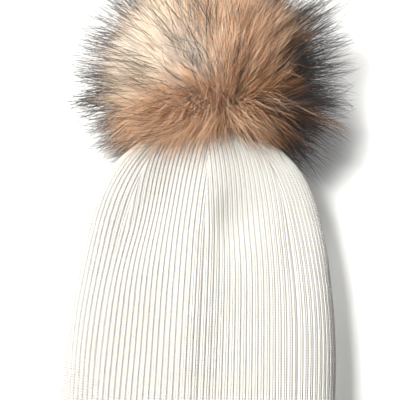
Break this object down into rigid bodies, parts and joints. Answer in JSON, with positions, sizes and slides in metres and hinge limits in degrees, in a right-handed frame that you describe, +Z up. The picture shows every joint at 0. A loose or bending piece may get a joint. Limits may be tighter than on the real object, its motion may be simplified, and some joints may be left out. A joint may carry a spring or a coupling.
{
  "type": "pom pom beanie",
  "caption": "Long rib-knit double-layer beanie with a tapered darted crown and a big fur pom that snaps onto it.",
  "frame": {"origin": "centre of the brim's opening, in the plane that the brim rests on", "axes": "+Z up through the crown, front (centre dart) towards -Y, +X towards the hat's left side as worn"},
  "size_m": [0.204, 0.152, 0.3621],
  "materials": {
    "outer_knit": "soft ivory wool rib knit",
    "lining_knit": "soft ivory plain knit",
    "seam_yarn": "twisted ivory yarn",
    "label_tape": "blank satin tape",
    "felt": "pressed wool felt",
    "snap_metal": "satin nickel-plated",
    "spring_wire": "drawn spring wire",
    "pelt_leather": "suede, undyed hide",
    "draw_thread": "waxed thread",
    "stuffing": "loose polyester fibre",
    "fur": "long tan fur with dark tips"
  },
  "bodies": {
    "hat": {"knit_shell": "outer_knit", "knit_lining": "lining_knit", "hem_yarn": "seam_yarn", "front_dart_yarn": "seam_yarn", "back_seam_yarn": "seam_yarn", "left_dart_yarn": "seam_yarn", "right_dart_yarn": "seam_yarn", "crown_gather_yarn": "seam_yarn", "care_label": "label_tape", "crown_washer": "felt", "crown_backing": "felt", "snap_stud": "snap_metal", "snap_eyelet": "snap_metal"},
    "snap_ring": {"snap_spring": "spring_wire"},
    "pom": {"snap_socket": "snap_metal", "pom_base_disc": "pelt_leather", "socket_rivet": "snap_metal", "pom_pelt": "pelt_leather", "pom_draw_thread": "draw_thread", "pom_stuffing": "stuffing", "pom_fur": "fur"}
  },
  "joints": [
    {"name": "pom_pull_off", "type": "slide", "parent": "hat", "child": "snap_ring", "axis": [0, 0.2419, 0.9703], "range_m": [0, 0.045], "deforming": ["snap_spring"]},
    {"name": "pom_spin", "type": "hinge", "parent": "snap_ring", "child": "pom", "pos_m": [0, 0.00658, 0.24918], "axis": [0, 0.2419, 0.9703], "continuous": true}
  ]
}
